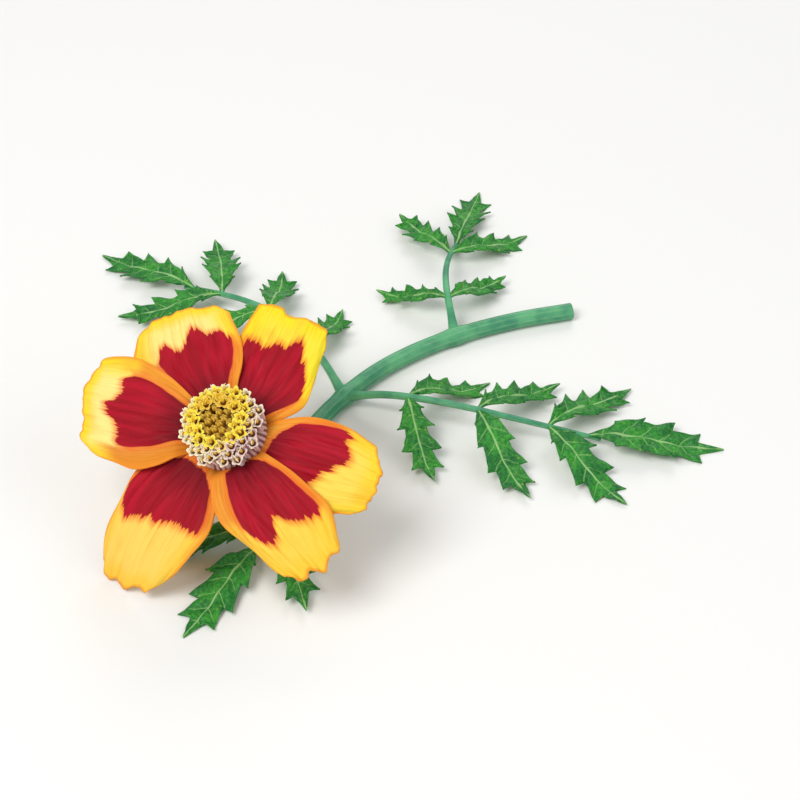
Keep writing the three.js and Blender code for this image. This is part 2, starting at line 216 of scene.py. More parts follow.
def remap(value, low, high, toLow=0.0, toHigh=1.0):
    inputs = {"Value": value, "From Min": low, "From Max": high, "To Min": toLow, "To Max": toHigh}
    return addNode("ShaderNodeMapRange", inputs, interpolation_type="SMOOTHSTEP").outputs[0]


def mixColour(share, a, b):  # each colour is a socket or a hex code
    return addNode("ShaderNodeMix", {0: share, 6: a, 7: b}, data_type="RGBA").outputs[2]


def layOver(body, *layers):  # lays colours over the body, each by a share and up to a most
    for code, share, most in layers:
        body = mixColour(times(share, most), body, code)
    return body


def uvPlace(tree, stretch=(1, 1, 1)):  # the piece's own UV map, stretched
    uv = addNode("ShaderNodeUVMap", {}, tree, uv_map="surface").outputs[0]
    return addNode("ShaderNodeMapping", {"Vector": uv, "Scale": stretch}).outputs[0]


def noise(where, scale, detail, roughness=0.5):
    inputs = {"Vector": where, "Scale": scale, "Detail": detail, "Roughness": roughness}
    return addNode("ShaderNodeTexNoise", inputs).outputs["Fac"]


def cells(where, scale, randomness=1.0, feature="F1"):  # distances in a random pattern of cells
    inputs = {"Vector": where, "Scale": scale, "Randomness": randomness}
    return addNode("ShaderNodeTexVoronoi", inputs, feature=feature).outputs["Distance"]


def bodyPlace(tree):
    return addNode("ShaderNodeTexCoord", {}, tree).outputs["Object"]


def bodyNoise(tree, scale, detail=3.0, roughness=0.5):
    return noise(bodyPlace(tree), scale, detail, roughness)


def dress(shader, body, roughness, height, distance, strength):  # a colour, its roughness and a bump
    bump = {"Height": height, "Distance": distance * mm, "Strength": strength}
    normal = addNode("ShaderNodeBump", bump).outputs[0]
    feed(shader, {"Base Color": body, "Roughness": roughness, "Normal": normal})


# rays

ray = {
    "rootRadius": 3.2, "rootHeight": -0.2, "clawWidth": 4.2, "thickness": 0.36, "clearance": 0.05,
    "lift": 2.3, "liftEnd": 7.5, "layerGap": 0.95, "layersPartBy": 0.25,
    "cornerRound": 0.11, "cornerPower": 3.2, "widestAt": 0.6, "widening": 0.95, "swellReach": 0.2,
    "hangFrom": 10, "crown": 0.9, "pleats": 3, "pleatDepth": 0.22, "veins": 13, "veinDepth": 0.05,
    "veinsFrom": 0.3, "fineTeeth": 0.16, "toothWaves": (11, 23), "secondTeeth": 0.6, "teethFrom": 0.7,
    "waver": 0.12, "waverWaves": 17, "ruffle": 0.3, "ruffleWaves": 8.5, "ruffleLag": 2, "sidePower": 3,
    "crinkle": 0.16, "crinkleWaves": (3, 4), "crinkleFrom": 0.4,
    "clawPatch": 0.82, "clawPatchEnd": 0.55, "marginsMeet": 0.3, "rows": 110, "columns": 91,
}

# patch: the red one's border as [place across, share of the length]. sides: where across it ends.
# warm, pale and claw: how orange and how light the yellow tip is, and how far the claw is orange.
# margins: how orange the two side margins are. swell: the share by which each side is wider, and where.
rayShapes = [
    {"turn": -4.7, "reach": 25.5, "width": 15.2, "droop": 3.4, "layer": -0.3, "closing": 0.25,
     "lobes": 2, "depth": 0.15, "phase": -0.9, "slant": -0.9, "bend": 2.6, "swell": [-0.05, 0, 0.8],
     "patch": [[-1, 0.5], [-0.35, 0.6], [-0.2, 0.62], [-0.08, 0.63], [0, 0.69], [0.15, 0.71], [0.25, 0.77],
               [0.4, 0.77], [0.55, 0.76], [0.7, 0.72], [0.8, 0.77], [0.9, 0.73], [1, 0.7]],
     "sides": [-0.75, 0.9], "warm": 0.35, "pale": 0.25, "claw": 1.45, "margins": [0.3, 0.3]},
    {"turn": 70, "reach": 21.9, "width": 16.2, "droop": 2.6, "layer": -1, "closing": 0.08,
     "lobes": 1.5, "depth": 0.7, "phase": 2.1, "slant": -1.3, "bend": 5.4, "swell": [-0.16, 0, 0.8],
     "patch": [[-0.85, 0.45], [-0.75, 0.55], [-0.6, 0.62], [-0.4, 0.68], [-0.28, 0.76], [-0.18, 0.82],
               [-0.1, 0.8], [0, 0.7], [0.08, 0.74], [0.2, 0.73], [0.35, 0.66], [0.45, 0.6], [0.6, 0.6],
               [0.75, 0.62], [1, 0.6]],
     "sides": [-0.86, 0.85], "warm": 0.0, "pale": 0.1, "claw": 0.0, "margins": [0.1, 0.1]},
    {"turn": 141, "reach": 24.2, "width": 16.4, "droop": 3.0, "layer": 0, "closing": 0.1,
     "lobes": 3, "depth": 0.2, "phase": 1.5, "slant": 2.6, "bend": -1.8, "swell": [0, 0.21, 0.78],
     "patch": [[-0.8, 0.62], [-0.7, 0.7], [-0.6, 0.7], [-0.45, 0.7], [-0.35, 0.76], [-0.2, 0.77],
               [-0.08, 0.74], [0, 0.65], [0.1, 0.62], [0.3, 0.66], [0.4, 0.72], [0.52, 0.7], [0.62, 0.58]],
     "sides": [-0.87, 0.6], "warm": 0.3, "pale": 0.75, "claw": 0.0, "margins": [0.2, 0.2]},
    {"turn": 193, "reach": 25.7, "width": 17.2, "droop": 3.4, "layer": 1, "closing": 0.08,
     "lobes": 2, "depth": 0.4, "phase": 1.6, "slant": -1.1, "bend": -2.8, "swell": [0.13, 0, 0.78],
     "patch": [[-0.75, 0.64], [-0.65, 0.7], [-0.5, 0.66], [-0.35, 0.68], [-0.22, 0.73], [-0.15, 0.78],
               [0, 0.77], [0.12, 0.76], [0.2, 0.68], [0.3, 0.68], [0.45, 0.66], [0.6, 0.66], [0.7, 0.6]],
     "sides": [-0.74, 0.64], "warm": 0.2, "pale": 0.85, "claw": 0.3, "margins": [0.3, 1.0]},
    {"turn": 250.3, "reach": 28.3, "width": 17.4, "droop": 7.8, "layer": -1, "closing": 0.27,
     "lobes": 3, "depth": 0.35, "phase": -0.1, "slant": -2.0, "bend": 1.0, "swell": [-0.14, 0, 0.63],
     "patch": [[-0.95, 0.5], [-0.85, 0.58], [-0.75, 0.62], [-0.6, 0.65], [-0.4, 0.62], [-0.2, 0.6],
               [-0.1, 0.56], [0.1, 0.55], [0.3, 0.53], [0.5, 0.53], [0.7, 0.52], [0.8, 0.54], [0.9, 0.55]],
     "sides": [-0.93, 0.87], "warm": 0.75, "pale": 0.25, "claw": 1.05, "margins": [0.05, 0.5]},
    {"turn": 316.5, "reach": 26.8, "width": 14.9, "droop": 4.0, "layer": 1, "closing": 0.3,
     "lobes": 3, "depth": 0.35, "phase": 3.6, "slant": 0.1, "bend": 3.8, "swell": [-0.24, 0.15, 0.76],
     "patch": [[-0.6, 0.58], [-0.5, 0.66], [-0.35, 0.7], [-0.25, 0.74], [-0.15, 0.74], [-0.05, 0.7],
               [0.03, 0.59], [0.1, 0.56], [0.2, 0.6], [0.35, 0.65], [0.5, 0.69], [0.7, 0.72], [0.8, 0.73],
               [0.9, 0.68]],
     "sides": [-0.61, 0.88], "warm": 0.6, "pale": 0.1, "claw": 1.05, "margins": [0.5, 0.5]},
]


def rayPart(shape):
    # out = root to tip by u, with a blunt, waved, toothed tip. across = v x half width, widening fast from
    # the claw. height = climb over the cup - hang - crown + pleats + veins + ruffle + crinkle + layer.
    u, v = np.meshgrid(np.linspace(0, 1, ray["rows"]), np.linspace(-1, 1, ray["columns"]), indexing="ij")
    turn, nearSide = shape["turn"], np.abs(v) ** ray["sidePower"]
    corner = ray["cornerRound"] * np.abs(v) ** ray["cornerPower"]
    wave = shape["depth"] * np.cos(shape["lobes"] * np.pi * v + shape["phase"])
    first, second = ray["toothWaves"]
    teeth = np.cos(first * v + turn) + ray["secondTeeth"] * np.cos(second * v + 2 * turn)
    teeth = ray["fineTeeth"] * teeth * smooth((u - ray["teethFrom"]) / (1 - ray["teethFrom"]))
    out = mix(ray["rootRadius"], shape["reach"] * (1 - corner) + wave + shape["slant"] * v + teeth, u)
    widening = np.sin(np.pi / 2 * np.minimum(1, u / ray["widestAt"])) ** ray["widening"]
    past = np.maximum(0, (u - ray["widestAt"]) / (1 - ray["widestAt"]))
    halfWidth = 0.5 * mix(ray["clawWidth"], shape["width"], widening) * (1 - shape["closing"] * past ** 2)
    rightSwell, leftSwell, swellAt = shape["swell"]
    swell = np.where(v < 0, rightSwell, leftSwell) * nearSide
    swell = swell * bell((u - swellAt) / ray["swellReach"])
    waver = ray["waver"] * np.sin(ray["waverWaves"] * u + turn) * v * u
    across = v * halfWidth * (1 + swell) + shape["bend"] * u ** 2 + waver
    climb = ray["lift"] * smooth((out - ray["rootRadius"]) / (ray["liftEnd"] - ray["rootRadius"]))
    hang = shape["droop"] * np.maximum(0, (out - ray["hangFrom"]) / (shape["reach"] - ray["hangFrom"])) ** 2
    crown = ray["crown"] * u * v ** 2
    pleats = ray["pleatDepth"] * u * np.cos(ray["pleats"] * np.pi * v)
    veins = ray["veinDepth"] * smooth(u / ray["veinsFrom"]) * np.cos(ray["veins"] * np.pi * v)
    ruffle = ray["ruffle"] * u * nearSide * np.sin(ray["ruffleWaves"] * u + turn + ray["ruffleLag"] * v)
    layer = shape["layer"] * ray["layerGap"] * smooth(u / ray["layersPartBy"])
    alongWaves, acrossWaves = ray["crinkleWaves"]
    crinkle = ray["crinkle"] * uneven(u * alongWaves, v * acrossWaves, turn) * smooth(u / ray["crinkleFrom"])
    height = ray["rootHeight"] + climb - hang - crown + pleats + veins + ruffle + crinkle + layer
    placed = placeBloom(turnAboutZ(np.stack([out, across, height], -1), turn))
    placed[..., 2] = np.maximum(placed[..., 2], ray["clearance"] + ray["thickness"] / 2)

    border = np.interp(v, *np.array(shape["patch"]).T)
    right, left = shape["sides"]
    narrow = mix(ray["clawPatch"], 1, smooth(u / ray["clawPatchEnd"]))
    return gridPart(
        placed, along=u, inPatch=(border - u) * shape["reach"],
        inSides=np.minimum(left * narrow - v, v - right * narrow) * halfWidth,
        fromEdge=np.minimum((1 - np.abs(v)) * halfWidth, (1 - u) * shape["reach"]),
        margin=np.interp(v, [-ray["marginsMeet"], ray["marginsMeet"]], shape["margins"]),
        seed=turn % 360 / 360, warm=shape["warm"], pale=shape["pale"], claw=shape["claw"])


rayPaint = {
    "coarse": (1.6, 11, 2, 0.0), "fine": (2.5, 55, 3, 4.0), "cloud": (3.0, 3.0, 2, 9.0),
    "coarseJag": 2.6, "fineJag": 3.2, "sideJag": 1.2, "edgeJag": 0.9, "clawJag": 0.05,
    "sideSharpness": 1.6, "clawSharpness": 24.0, "clawEnd": 0.16, "clawCorners": 0.22, "seedGap": 37.0,
    "yellow": "f5de24", "warm": "f4bd48", "pale": "f8e694", "golden": "f0b03c", "streak": "e6a02a",
    "beside": "ee9d3c", "besideStreak": "dd7a28", "margin": "d5681c", "edge": "ee8c26", "halo": "e8541c",
    # throat: darker red towards the ray's base, painted shade by the disc
    "red": "960a1c", "redLit": "b20f28", "redStreak": "c41a34", "throat": "4c0714", "back": "f0b848",
    "backShare": 0.45, "roughness": (0.5, 0.68), "bump": 0.16,
}


def rayMaterial(name, back):
    material, tree, shader = newMaterial(name)
    paint = rayPaint
    split = addNode("ShaderNodeSeparateXYZ", {"Vector": uvPlace(tree)})
    along, fromEdge, inSides = field(tree, "along"), field(tree, "fromEdge"), field(tree, "inSides")

    def streaks(alongScale, acrossScale, detail, shift):
        where = {"X": times(split.outputs["X"], alongScale),
                 "Y": times(split.outputs["Y"], acrossScale),
                 "Z": calc("MULTIPLY_ADD", field(tree, "seed"), paint["seedGap"], shift)}
        return noise(addNode("ShaderNodeCombineXYZ", where).outputs[0], 1.0, detail, 0.6)

    coarse, fine, cloud = (streaks(*paint[key]) for key in ("coarse", "fine", "cloud"))

    # the red patch: inside its border and away from the side margins and the claw, with a streaky border
    jag = calc("ADD", swing(coarse, paint["coarseJag"]), swing(fine, paint["fineJag"]))
    inside = calc("ADD", field(tree, "inPatch"), jag)
    side = calc("ADD", inSides, swing(cloud, paint["sideJag"]))
    depth = calc("MINIMUM", inside, times(side, paint["sideSharpness"]))
    across = calc("MULTIPLY_ADD", split.outputs["Y"], 2.0, -1.0)
    corners = calc("POWER", times(across, across), 2.0)
    clawEnd = calc("MULTIPLY_ADD", corners, paint["clawCorners"], paint["clawEnd"])
    base = calc("SUBTRACT", along, times(field(tree, "claw"), clawEnd))
    base = calc("MULTIPLY_ADD", fine, paint["clawJag"], base)
    depth = calc("MINIMUM", depth, times(base, paint["clawSharpness"]))

    # yellow tip, warmer by ray, orange along the edges and beside the red
    yellow = mixColour(field(tree, "warm"), paint["yellow"], paint["warm"])
    lightness = times(field(tree, "pale"), remap(fromEdge, 0.8, 4.0))
    yellow = mixColour(lightness, yellow, paint["pale"])
    yellow = layOver(yellow, (paint["golden"], remap(cloud, 0.5, 0.7), 0.35),
                     (paint["streak"], remap(fine, 0.5, 0.72), 0.4))
    sides = times(times(remap(inSides, 0.4, -0.6), field(tree, "margin")), remap(along, 0.92, 0.66))
    beside = mixColour(remap(fine, 0.35, 0.65), paint["beside"], paint["besideStreak"])
    beside = layOver(beside, (paint["margin"], sides, 0.7))
    besideRed = calc("MAXIMUM", remap(field(tree, "inPatch"), -2.0, 2.5), sides)
    edge = remap(calc("ADD", fromEdge, swing(cloud, paint["edgeJag"])), 0.75, 0.05)
    yellow = layOver(yellow, (beside, besideRed, 0.85), (paint["edge"], edge, 0.75),
                     (paint["halo"], remap(depth, -1.5, 0.1), 0.55))

    # the red grows darker towards the throat at the ray's base: painted shade by the disc
    deep = mixColour(remap(coarse, 0.35, 0.7), paint["red"], paint["redLit"])
    deep = layOver(deep, (paint["redStreak"], remap(fine, 0.5, 0.8), 0.4),
                   (paint["throat"], remap(along, 0.45, 0.12), 0.65))
    finished = mixColour(remap(depth, -0.1, 0.28), yellow, deep)
    if back:
        finished = mixColour(paint["backShare"], finished, paint["back"])
    relief = calc("MULTIPLY_ADD", bodyNoise(tree, 9000, 2), 0.25, calc("ADD", coarse, times(fine, 0.8)))
    dress(shader, finished, remap(fine, 0.3, 0.7, *paint["roughness"]), relief, paint["bump"], 0.8)
    feed(shader, {"Sheen Weight": 0.04, "Sheen Roughness": 0.4, "Specular IOR Level": 0.14})
    return material


rayFace = rayMaterial("ray_face", False)
rayBack = rayMaterial("ray_back", True)
for number, shape in enumerate(rayShapes, 1):
    blade = makePiece(f"ray_{number}", [rayPart(shape)], [rayFace, rayBack], "ray_petals",
                      closed=False)
    thicken(blade, ray["thickness"], 1)

ring = {
    "section": [[2.7, -1.9], [4.4, -1.9], [4.4, 0.0], [3.9, 0.5], [2.7, 0.5], [2.7, -1.9]], "columns": 72,
    "gold": "d9b34a", "brown": "a8842c",
}


def ringMaterial():
    material, tree, shader = newMaterial("ray_ring")
    body = mixColour(bodyNoise(tree, 1500), ring["gold"], ring["brown"])
    feed(shader, {"Base Color": body, "Roughness": 0.6})
    return material


ringPart = gridPart(placeBloom(turned(ring["section"], ring["columns"])), wrap=True)
makePiece("ray_ring", [ringPart], [ringMaterial()], "ray_petals")
print("rays made")

# disc florets

disc = {
    "florets": 74, "closed": 19, "spread": 5.95, "footHeight": 3.4, "footDrop": 1.45, "outwardLean": 6,
    "leanPower": 1.5, "goldenAngle": 137.508, "fadeLead": 0.12, "fadeSide": -65, "lilacShadeSide": -15,
    "leastLilacShade": 0.4, "lilacShadeStep": 0.37, "seedStep": 0.61, "lopsided": 0.9, "lopsidedSide": -8,
    "openHeight": 3.75, "swell": 0.5, "unevenBy": 0.15, "lobes": 5,
}


def floretShare(k):
    return math.sqrt((k + 0.5) / disc["florets"])


def floretFields(k):  # florets fade from the rim inwards, one side ahead, and are lilac on one side: partly their own tint, partly painted shade
    heading = k * disc["goldenAngle"]
    faded = floretShare(k) + disc["fadeLead"] * math.cos(math.radians(heading - disc["fadeSide"]))
    lilacShade = max(0, math.cos(math.radians(heading - disc["lilacShadeSide"])))
    lilacShade *= mix(disc["leastLilacShade"], 1, k * disc["lilacShadeStep"] % 1)
    return {"rim": faded, "lilacShade": lilacShade, "seed": k * disc["seedStep"] % 1}


def lopsidedShift(share):  # the rim of the disc stands off centre
    reach = disc["lopsided"] * np.minimum(1, share) ** 2
    return turnAboutZ(np.stack([reach, 0 * reach, 0 * reach], -1), disc["lopsidedSide"])


def floretPlace(points, k):  # stands a floret at its place in the spiral of a seed head
    share = floretShare(k)
    lean = math.radians(disc["outwardLean"]) * share ** disc["leanPower"]
    tilt = np.array([[math.cos(lean), 0, -math.sin(lean)], [0, 1, 0], [math.sin(lean), 0, math.cos(lean)]])
    foot = np.array([disc["spread"] * share, 0, disc["footHeight"] - disc["footDrop"] * share ** 2])
    return placeBloom(turnAboutZ(points @ tilt + foot, k * disc["goldenAngle"]) + lopsidedShift(share))


def openHeight(k):
    swell = disc["swell"] * math.sin(math.pi * floretShare(k))
    return disc["openHeight"] + swell + disc["unevenBy"] * math.sin(5 * k)


corolla = {
    "tubeRadii": [[0, 0.32], [0.55, 0.42], [1, 0.56]], "star": 1.2, "rimStar": 0.98, "cleft": 0.68,
    "rimFrom": 0.72, "rimFade": 0.1, "lobeSharpness": 0.8, "rollOut": 0.62, "rollDown": 0.8,
    "lobeDepth": 0.45, "lobeRise": 0.55, "cleftRise": 0.55, "columns": 20, "wall": 0.12,
    "rows": [0, 0.3, 0.55, 0.75, 0.9, 1.0, 1.18, 1.4, 1.62, 1.8],  # the throat is at 1
    # tip: a paler yellow at the lobe ends, a painted highlight
    "tube": "d9a52a", "paleTube": "f6e6d6", "gold": "e8b828", "yellow": "f8e032", "tip": "fdf2a0",
    # lilac: partly the florets' own tint, partly painted shade
    "pale": "f8f0cc", "lilacShade": "d2a0bc", "stripeAndShade": "8a4a52",
}


def corollaPart(k):
    # radius grows from foot to throat along the tube, then each of five lobes rolls outwards and down
    s = np.array(corolla["rows"])[:, None]
    angle = turnedAngles(corolla["columns"])[None, :] + k
    lobe = (0.5 + 0.5 * np.cos(disc["lobes"] * (angle - k))) ** corolla["lobeSharpness"]
    past = np.clip((s - 1) / (s[-1] - 1), 0, 1)
    shares, radii = np.array(corolla["tubeRadii"]).T
    marks = floretFields(k)
    atRim = smooth((marks["rim"] - corolla["rimFrom"]) / corolla["rimFade"])
    reach = mix(corolla["cleft"], mix(corolla["star"], corolla["rimStar"], atRim), lobe) - radii[-1]
    rolled = np.sin(past * np.pi * corolla["rollOut"]) / math.sin(math.pi * corolla["rollOut"])
    rise = corolla["lobeRise"] * mix(corolla["cleftRise"], 1, lobe)
    up = np.minimum(s, 1) * (openHeight(k) - corolla["lobeDepth"])
    up = up + rise * np.sin(past * np.pi * corolla["rollDown"])
    points = around(np.interp(s, shares, radii) + reach * rolled, up, angle)
    return gridPart(floretPlace(points, k), wrap=True, along=s / s[-1], lobe=lobe, **marks)


def corollaMaterial():
    material, tree, shader = newMaterial("floret_corolla")
    along, rim = field(tree, "along"), field(tree, "rim")
    outer = remap(rim, 0.74, 0.82)
    tubes = mixColour(outer, corolla["tube"], corolla["paleTube"])
    lobes = mixColour(remap(rim, 0.45, 0.58), corolla["gold"], corolla["yellow"])
    # paler towards the lobe tips: painted highlight
    lobes = layOver(lobes, (corolla["tip"], remap(along, 0.75, 1.0), 0.6))
    lobes = mixColour(outer, lobes, corolla["pale"])
    body = mixColour(remap(along, 0.42, 0.6), tubes, lobes)
    # lilac on one side of the rim florets: partly their own tint, partly painted shade
    body = mixColour(times(outer, field(tree, "lilacShade")), body, corolla["lilacShade"])
    # dark lines down the pale outer tubes under the clefts: partly the florets' own lines, partly painted
    # shade between the tubes
    stripeAndShade = times(times(remap(field(tree, "lobe"), 0.35, 0.05), outer), remap(along, 0.6, 0.45))
    body = layOver(body, (corolla["stripeAndShade"], stripeAndShade, 0.75))
    dress(shader, body, 0.5, bodyNoise(tree, 5000, 2), 0.05, 0.6)
    feed(shader, {"Sheen Weight": 0.1})
    return material


anther = {
    "radius": 0.27, "profile": [[0, 0.9], [0.7, 1.05], [0.9, 0.9], [1, 0.35]], "columns": 10,
    "rows": [0, 0.25, 0.7, 0.9, 1.0], "ribDepth": 0.1, "sunk": 1.2, "length": 1.7, "lengthStep": 0.2,
    "brown": "6b3a1c", "tan": "a86a22", "top": "e8b01a",
}


def antherPart(k):
    # a ribbed brown tube that stands out of the corolla, with a blunt yellow top
    s = np.array(anther["rows"])[:, None]
    angle = turnedAngles(anther["columns"])[None, :]
    ribs = 1 + anther["ribDepth"] * np.cos(disc["lobes"] * angle)
    radius = anther["radius"] * np.interp(s, *np.array(anther["profile"]).T) * ribs
    up = openHeight(k) - anther["sunk"] + s * (anther["length"] + anther["lengthStep"] * math.sin(3 * k))
    points = floretPlace(capped(around(radius, up, angle)), k)
    return gridPart(points, wrap=True, along=cappedShares(s), **floretFields(k))


def antherMaterial():
    material, tree, shader = newMaterial("floret_anthers")
    brown = mixColour(field(tree, "seed"), anther["brown"], anther["tan"])
    body = mixColour(remap(field(tree, "along"), 0.6, 0.9), brown, anther["top"])
    dress(shader, body, 0.6, bodyNoise(tree, 7000, 2), 0.05, 0.8)
    return material


style = {
    "start": 0.45, "radius": 0.1, "reach": 0.3, "reachStep": 0.25, "rise": 0.42, "curl": 2.6, "apart": 0.06,
    "taper": 0.3, "twist": 47, "rows": 8, "columns": 5, "yellow": "edc41c", "tip": "f7e25a", "pale": "f3e6c4",
}


def stylePart(k, side):
    # half of the forked style: a thin arm that leaves the anther tube and curls back
    t = np.linspace(0, 1, style["rows"])
    bend = t * style["curl"]
    reach = style["reach"] * (1 + style["reachStep"] * math.sin(7 * k + side))
    up = openHeight(k) + style["start"] + style["rise"] * np.sin(bend)
    centre = np.stack([side * (style["apart"] + reach * (1 - np.cos(bend))), 0 * t, up], -1)
    tangent = np.gradient(centre, axis=0)
    tangent /= np.linalg.norm(tangent, axis=1)[:, None]
    sideways = np.array([0.0, 1.0, 0.0])
    normal = np.cross(tangent, sideways)[:, None]
    angle = turnedAngles(style["columns"])[None, :, None]
    radius = style["radius"] * (1 - style["taper"] * t)[:, None, None]
    points = capped(centre[:, None] + radius * (np.cos(angle) * normal + np.sin(angle) * sideways))
    placed = floretPlace(turnAboutZ(points, style["twist"] * k), k)
    return gridPart(placed, wrap=True, along=cappedShares(t), **floretFields(k))


def styleMaterial():
    material, tree, shader = newMaterial("floret_styles")
    body = mixColour(field(tree, "along"), style["yellow"], style["tip"])
    body = mixColour(remap(field(tree, "rim"), 0.74, 0.84), body, style["pale"])
    dress(shader, body, 0.55, bodyNoise(tree, 9000, 2), 0.04, 0.8)
    return material


bud = {
    "height": 3.5, "swell": 0.7, "unevenBy": 0.12, "columns": 20, "grooveDepth": 0.2,
    "rows": [0, 0.3, 0.55, 0.7, 0.78, 0.85, 0.91, 0.96, 0.985, 1.0],
    "profile": [[0, 0.3], [0.5, 0.42], [0.7, 0.58], [0.85, 0.5], [0.96, 0.24], [1, 0.04]],
    "gold": "e8bc46", "yellow": "f6d654", "light": "ecd65c", "groove": "9a6a1c", "mouth": "8a5c16",
}


def budPart(k):
    # a closed floret: a ribbed, blunt bud with five grooves
    height = bud["height"] + bud["swell"] * floretShare(k) + bud["unevenBy"] * math.sin(4 * k)
    s = np.array(bud["rows"])[:, None]
    angle = turnedAngles(bud["columns"])[None, :] + k
    rib = np.cos(disc["lobes"] * angle)
    radius = np.interp(s, *np.array(bud["profile"]).T) * (1 + bud["grooveDepth"] * rib * s ** 2)
    points = floretPlace(capped(around(radius, s * height, angle)), k)
    return gridPart(points, wrap=True, along=cappedShares(s), lobe=0.5 + 0.5 * rib, **floretFields(k))


def budMaterial():
    material, tree, shader = newMaterial("floret_buds")
    along = field(tree, "along")
    body = mixColour(field(tree, "rim"), bud["gold"], bud["yellow"])
    groove = times(remap(field(tree, "lobe"), 0.5, 0.0), remap(along, 0.5, 0.75))
    body = layOver(body, (bud["light"], field(tree, "seed"), 0.5), (bud["groove"], groove, 0.7),
                   (bud["mouth"], remap(along, 0.93, 0.99), 0.7))
    dress(shader, body, 0.55, bodyNoise(tree, 5000, 2), 0.06, 0.8)
    return material


core = {
    "section": [[0, -1.9], [2.4, -1.9], [2.5, 0.6], [5.7, 1.6], [6.1, 1.9], [6.1, 2.2], [5.6, 2.9],
                [4.6, 3.6], [3.4, 4.2], [1.8, 4.5], [0, 4.6]],
    "columns": 160, "ribs": 40, "ribDepth": 0.013, "wallTop": 3.7, "wallFade": 0.6,
    "brown": "7a4e1e", "tan": "a87c2e", "ridge": "d6b45a", "wallGrooveShade": "7c4a46", "wallRidge": "d8b0aa",
}


def corePart():  # the body under the florets, ribbed like their tubes and off centre as the rim is
    points = turned(core["section"], core["columns"])
    share = np.hypot(points[..., 0], points[..., 1]) / disc["spread"]
    ribs = np.cos(core["ribs"] * turnedAngles(core["columns"]))[None, :]
    points[..., :2] *= (1 + core["ribDepth"] * ribs)[..., None]
    wall = smooth((core["wallTop"] - points[..., 2]) / core["wallFade"])
    return gridPart(placeBloom(points + lopsidedShift(share)), wrap=True, ridge=ribs, wall=wall)


def coreMaterial():
    material, tree, shader = newMaterial("disc_core")
    ridge = field(tree, "ridge")
    body = mixColour(bodyNoise(tree, 1800), core["brown"], core["tan"])
    body = layOver(body, (core["ridge"], remap(ridge, 0.0, 1.0), 0.5))
    # the wall is darker in its grooves: painted shade between its tube-like ribs
    wall = mixColour(remap(ridge, -0.6, 0.6), core["wallGrooveShade"], core["wallRidge"])
    body = mixColour(field(tree, "wall"), body, wall)
    feed(shader, {"Base Color": body, "Roughness": 0.65})
    return material


opened = range(disc["closed"], disc["florets"])
corollas = makePiece("floret_corollas", [corollaPart(k) for k in opened], [corollaMaterial()],
                     "disc_florets", closed=False)
thicken(corollas, corolla["wall"])
for name, parts, material in (
    ("floret_anthers", [antherPart(k) for k in opened], antherMaterial()),
    ("floret_styles", [stylePart(k, side) for k in opened for side in (-1, 1)], styleMaterial()),
    ("floret_buds", [budPart(k) for k in range(disc["closed"])], budMaterial()),
    ("disc_core", [corePart()], coreMaterial()),
):
    makePiece(name, parts, [material], "disc_florets")
print("disc made")

# curves, as in the solids

def splinePoints(points, samples=60):
    # centripetal Catmull-Rom through the points. along() then goes by its length
    p = np.concatenate([[2 * points[0] - points[1]], points, [2 * points[-1] - points[-2]]])
    t = np.linspace(0, 1, samples, endpoint=False)[:, None]
    pieces = []
    for a, b, c, d in zip(p[:-3], p[1:-2], p[2:-1], p[3:]):
        d0, d1, d2 = (np.linalg.norm(q - r) ** 0.5 for q, r in ((b, a), (c, b), (d, c)))
        m1 = ((b - a) / d0 - (c - a) / (d0 + d1) + (c - b) / d1) * d1
        m2 = ((c - b) / d1 - (d - b) / (d1 + d2) + (d - c) / d2) * d1
        pieces.append(b + m1 * t + (3 * (c - b) - 2 * m1 - m2) * t ** 2 + (2 * (b - c) + m1 + m2) * t ** 3)
    return np.concatenate(pieces + [points[-1:]])


def along(path, t):  # points and directions at shares t of a path's length
    length = np.concatenate([[0], np.cumsum(np.linalg.norm(np.diff(path, axis=0), axis=1))])
    at = np.asarray(t) * length[-1]
    where = np.stack([np.interp(at, length, line) for line in path.T], -1)
    slope = np.stack([np.interp(at, length, np.gradient(line, length)) for line in path.T], -1)
    return where, slope / np.linalg.norm(slope, axis=-1, keepdims=True)


def tube(path, t, columns, radius):  # rings square to the path, with radius as rows x columns
    centre, tangent = along(path, t)
    side = np.cross([0.0, 0.0, 1.0], tangent)
    side /= np.linalg.norm(side, axis=1)[:, None]
    up = np.cross(tangent, side)
    angle = turnedAngles(columns)[None, :, None]
    return centre[:, None] + radius[..., None] * (np.cos(angle) * side[:, None] + np.sin(angle) * up[:, None])


# green stem and cup

stem = {
    "top": -14.6, "sunkInCup": 1.5, "centreHeight": 1.45, "neckRadius": 1.9, "radius": 1.5, "thinBy": 0.35,
    "node": 0.25, "nodeReach": 0.02, "ridges": 9, "ridgeDepth": 0.06, "ridgePower": 0.7, "rows": 260,
    "columns": 54, "route": [[15.2, 28.4], [23.5, 38.5], [34.5, 46.5], [47.0, 52.0], [58.0, 55.0]],
    "green": "2f8460", "light": "58aa76", "ridge": "8ec98a", "streak": "1d6149", "pith": ("c9d79a", "9dbb6c"),
}
leaves = [
    {"name": "front", "along": 0.25, "heading": -105, "rib": 29, "leaflet": 19.5, "pairs": 1,
     "bow": 2.5, "arch": 2.0},
    {"name": "left", "along": 0.4, "heading": 134, "rib": 43, "leaflet": 20, "pairs": 3,
     "bow": -3, "arch": 4.5},
    {"name": "right", "along": 0.4, "heading": -14, "rib": 45, "leaflet": 21, "pairs": 3,
     "bow": -2.5, "arch": 4.5},
    {"name": "back", "along": 0.72, "heading": 88, "rib": 28, "leaflet": 18, "pairs": 2,
     "bow": 2, "arch": 3.5},
]


